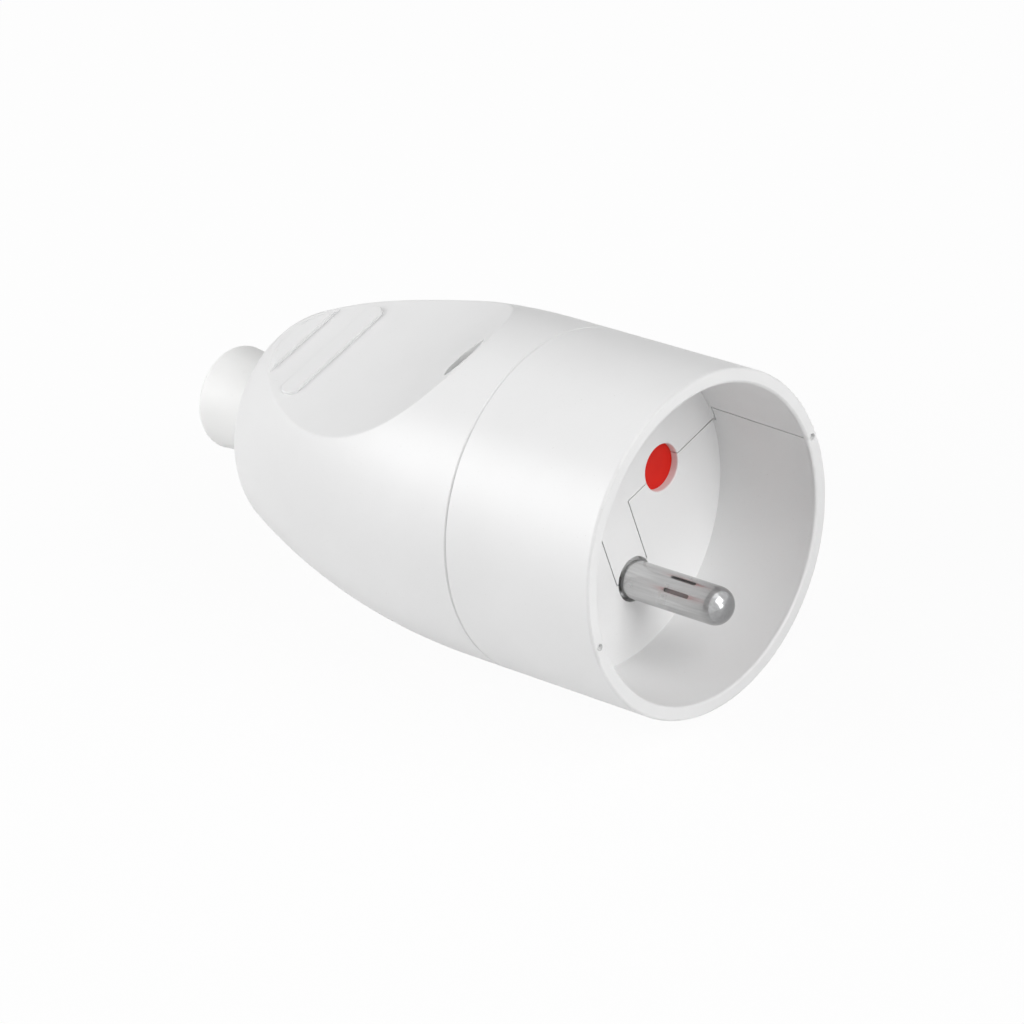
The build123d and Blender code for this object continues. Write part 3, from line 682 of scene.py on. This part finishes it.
def cheese_head(name, radius, height):
    clear_selection()
    bpy.ops.mesh.primitive_cylinder_add(
        vertices=head_sides, radius=radius, depth=height, location=(0, 0, height / 2)
    )
    head = bpy.context.object
    head.name = name
    bpy.ops.object.transform_apply(location=True)
    edit(head, "EDGE")
    pick(head, lambda place: place.z > height - level_tolerance)
    bpy.ops.mesh.bevel(offset=head_round, segments=4)
    bpy.ops.object.mode_set(mode="OBJECT")
    clear_selection()
    bpy.ops.mesh.primitive_cube_add(size=2, location=(0, 0, height))
    cutter = bpy.context.object
    cutter.scale = (slot_half_width, 2 * radius, slot_depth)
    bpy.ops.object.transform_apply(location=True, scale=True)
    apply_modifier(head, "BOOLEAN", {"operation": "DIFFERENCE", "object": cutter})
    bpy.data.objects.remove(cutter)
    apply_modifier(
        head,
        "BEVEL",
        {
            "width": head_edge_break,
            "segments": 2,
            "limit_method": "ANGLE",
            "angle_limit": math.radians(50),
        },
    )
    return head


def threaded_screw(name, node, head_radius, head_height, shank_radius):
    """A screw modelled on the Z axis, then carried in its mesh to its node's place."""
    low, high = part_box(node)
    length = high.z - low.z - head_height
    # The thread runs past both cuts, so that its ragged ends fall away
    turns = math.ceil(length / thread_pitch) + thread_spare_turns
    start = -length - thread_run_in
    rod = coil("rod", thread_profile(shank_radius), turns, thread_pitch, start)
    face_outwards(rod)
    trim(rod, shank_overlap, clear_above=True)
    trim(rod, -length, clear_above=False)
    edit(rod)
    pick(rod, lambda place: place.z < level_tolerance - length)
    bpy.ops.transform.resize(
        value=(shank_tip_scale, shank_tip_scale, 1), center_override=(0, 0, -length)
    )
    bpy.ops.object.mode_set(mode="OBJECT")
    screw = cheese_head(name, head_radius, head_height)
    apply_modifier(screw, "BOOLEAN", {"operation": "UNION", "object": rod})
    bpy.data.objects.remove(rod)
    face_outwards(screw)
    centre = (low + high) / 2
    screw.data.transform(Matrix.Translation((centre.x, centre.y, high.z - head_height)))
    soften(screw, degrees=32)
    hand_over(screw, node, "screw_steel")
    return screw


def same_screw(name, model, model_node, node):
    """Another screw of the same size, with its own mesh."""
    screw = model.copy()
    screw.data = model.data.copy()
    screw.name = name
    bpy.context.collection.objects.link(screw)
    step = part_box(node)[1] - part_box(model_node)[1]
    screw.data.transform(Matrix.Translation(step))
    hand_over(screw, node, "screw_steel")


terminal_screw = threaded_screw("terminal_screw_live", "live_terminal_screw", *terminal_size)
same_screw(
    "terminal_screw_neutral", terminal_screw, "live_terminal_screw", "neutral_terminal_screw"
)
threaded_screw("terminal_screw_earth", "earth_terminal_screw", *terminal_size)
clamp_screw = threaded_screw("clamp_screw_left", "cord_clamp_screw_left", *clamp_size)
same_screw("clamp_screw_right", clamp_screw, "cord_clamp_screw_left", "cord_clamp_screw_right")
closing_screw = threaded_screw("insert_screw_left", "closing_screw_left", *closing_size)
same_screw("insert_screw_right", closing_screw, "closing_screw_left", "closing_screw_right")


# Shutter spring: round wire, with a closed turn at each end
spring_radius = 1.2 * MM
spring_wire = 0.13 * MM
spring_wire_sides = 14
closed_pitch = 2.1 * spring_wire
spring_turns = 7


def wire_ring(name, start):
    clear_selection()
    bpy.ops.mesh.primitive_circle_add(
        vertices=spring_wire_sides,
        radius=spring_wire,
        location=(spring_radius, 0, start),
        rotation=(math.pi / 2, 0, 0),
    )
    ring = bpy.context.object
    ring.name = name
    bpy.ops.object.transform_apply(location=True, rotation=True)
    return ring


def coil_spring(node):
    """Two closed turns and the open ones between them, as high as the node's own wire."""
    low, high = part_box(node)
    bottom = low.z + spring_wire
    top = high.z - spring_wire
    open_start = bottom + closed_pitch
    open_end = top - closed_pitch
    open_pitch = (open_end - open_start) / spring_turns
    lower = coil("lower", wire_ring, 1, closed_pitch, bottom)
    middle = coil("middle", wire_ring, spring_turns, open_pitch, open_start)
    upper = coil("upper", wire_ring, 1, closed_pitch, open_end)
    spring = join("return_spring", [lower, middle, upper])
    face_outwards(spring)
    edit(spring)
    bpy.ops.mesh.select_all(action="SELECT")
    bpy.ops.mesh.fill_holes(sides=0)
    bpy.ops.object.mode_set(mode="OBJECT")
    face_outwards(spring)
    centre = (low + high) / 2
    spring.data.transform(Matrix.Translation((centre.x, centre.y, 0)))
    soften(spring, degrees=45)
    hand_over(spring, node, "spring_steel")
    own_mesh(spring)


coil_spring("shutter_spring")


# Stage
room_light = 0.15
paper_white = (0.85, 0.85, 0.85, 1.0)
pure_white = (1.0, 1.0, 1.0, 1.0)
floor_glow = 0.94


def pale_floor():
    """A sheet of paper under the object, nearly white to the camera, which keeps the shadow."""
    clear_selection()
    bpy.ops.mesh.primitive_plane_add(size=2 * floor_half, location=(0, 0, floor_level))
    floor = bpy.context.object
    floor.name = "floor"
    finish = Finish(bpy.data.materials.new("floor_white"))
    paper = finish.node("ShaderNodeBsdfDiffuse", inputs={"Color": paper_white})
    glow = finish.node("ShaderNodeEmission", inputs={"Color": pure_white, "Strength": 1.0})
    seen = finish.node("ShaderNodeLightPath", output="Is Camera Ray")
    mixed = finish.node("ShaderNodeMixShader", inputs={0: seen * floor_glow, 1: paper, 2: glow})
    finish.node("ShaderNodeOutputMaterial", inputs={"Surface": mixed})
    floor.data.materials.append(finish.made)


def soft_room():
    """White all round to the eye, and dimmer as a light."""
    room = Finish(bpy.data.worlds.new("room"))
    bpy.context.scene.world = room.made
    seen = room.node("ShaderNodeLightPath", output="Is Camera Ray")
    for other in ("Is Glossy Ray", "Is Transmission Ray"):
        ray = room.node("ShaderNodeLightPath", output=other)
        seen = room.math("MAXIMUM", seen, ray)
    glow = room.node(
        "ShaderNodeBackground",
        inputs={"Color": pure_white, "Strength": room_light + seen * (1.0 - room_light)},
    )
    room.node("ShaderNodeOutputWorld", inputs={"Surface": glow})


def soft_lamp(name, place, size, power):
    """A square diffuser that faces the object's middle."""
    light = bpy.data.lights.new(name, "AREA")
    light.shape = "SQUARE"
    light.size = size
    light.energy = power
    lamp = bpy.data.objects.new(name, light)
    bpy.context.collection.objects.link(lamp)
    lamp.location = place
    aim = (cad_box[0] + cad_box[1]) / 2 - lamp.location
    lamp.rotation_mode = "QUATERNION"
    lamp.rotation_quaternion = aim.to_track_quat("-Z", "Y")


def catalogue_camera():
    data = bpy.data.cameras.new("camera")
    data.lens = camera_lens
    data.sensor_width = camera_sensor
    data.clip_start = 0.01
    data.clip_end = 20.0
    camera = bpy.data.objects.new("camera", data)
    bpy.context.collection.objects.link(camera)
    turn = Matrix((camera_right, camera_up, camera_back)).transposed()
    camera.matrix_world = Matrix.Translation(camera_place) @ turn.to_4x4()
    bpy.context.scene.camera = camera


pale_floor()
soft_room()
soft_lamp("key", place=(-0.64, -0.50, 0.585), size=0.5, power=4.15)
soft_lamp("side", place=(-0.35, -0.80, 0.40), size=0.45, power=1.95)
soft_lamp("front_high", place=(0.75, 0.1, 0.6), size=0.6, power=4.75)
soft_lamp("front", place=(1.0, 0.0, 0.15), size=0.35, power=1.4)
soft_lamp("top", place=(0.2, 0.3, 0.9), size=0.6, power=0.75)
soft_lamp("back", place=(-0.6, 0.3, 0.75), size=0.7, power=0.95)
catalogue_camera()
bpy.context.scene.view_settings.view_transform = "Standard"
